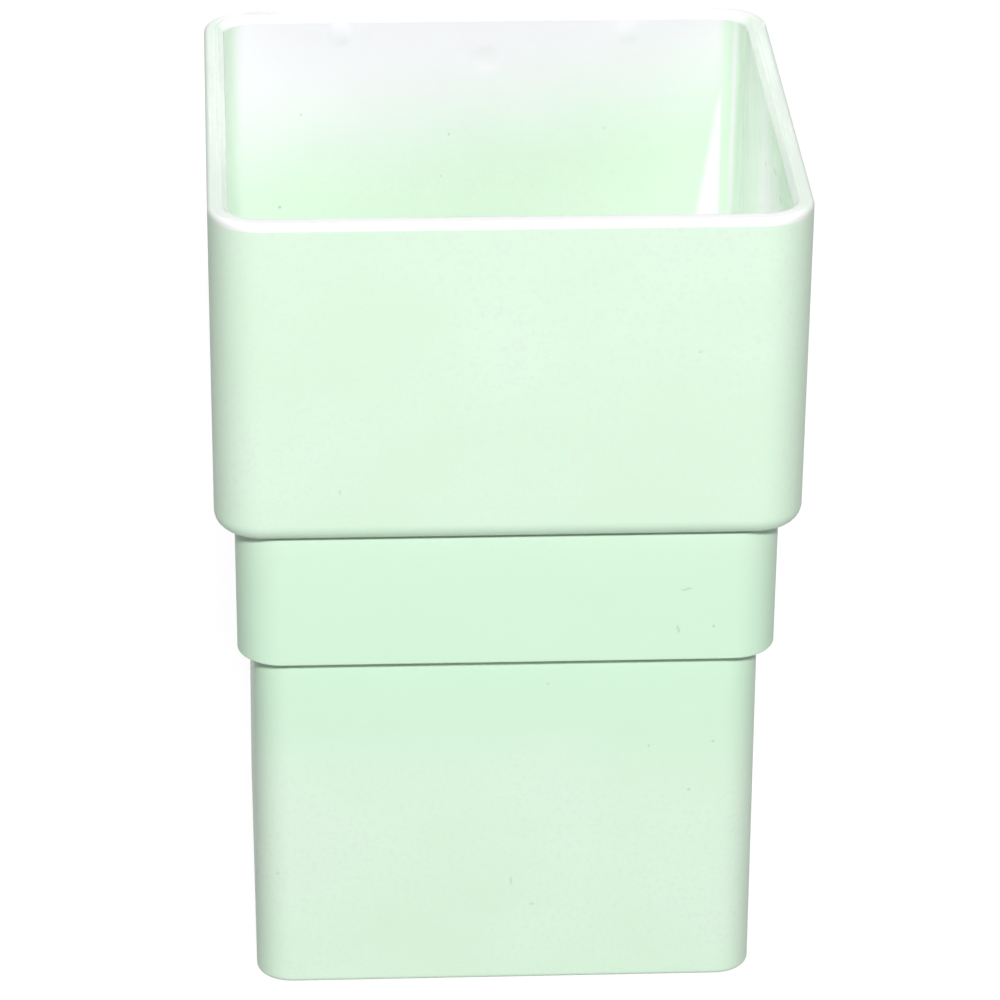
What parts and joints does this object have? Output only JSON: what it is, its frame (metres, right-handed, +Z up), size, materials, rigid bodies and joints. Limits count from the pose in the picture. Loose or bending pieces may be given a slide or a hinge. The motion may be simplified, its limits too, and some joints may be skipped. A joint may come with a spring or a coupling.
{
  "type": "downpipe socket",
  "caption": "Square stepped rainwater pipe connector: an open socket above takes a square downpipe, and a narrower spigot below enters the next pipe.",
  "frame": {"origin": "centre of the spigot's end face, on which the fitting stands", "axes": "+Z up the pipe from the spigot to the socket's mouth, +X and +Y square to the flat sides, +Y towards the wall with the gate mark"},
  "size_m": [0.0706, 0.0706, 0.1032],
  "materials": {
    "upvc": "moulded pale mint white, satin gloss"
  },
  "bodies": {
    "root": {"downpipe_socket": "upvc"}
  },
  "joints": []
}
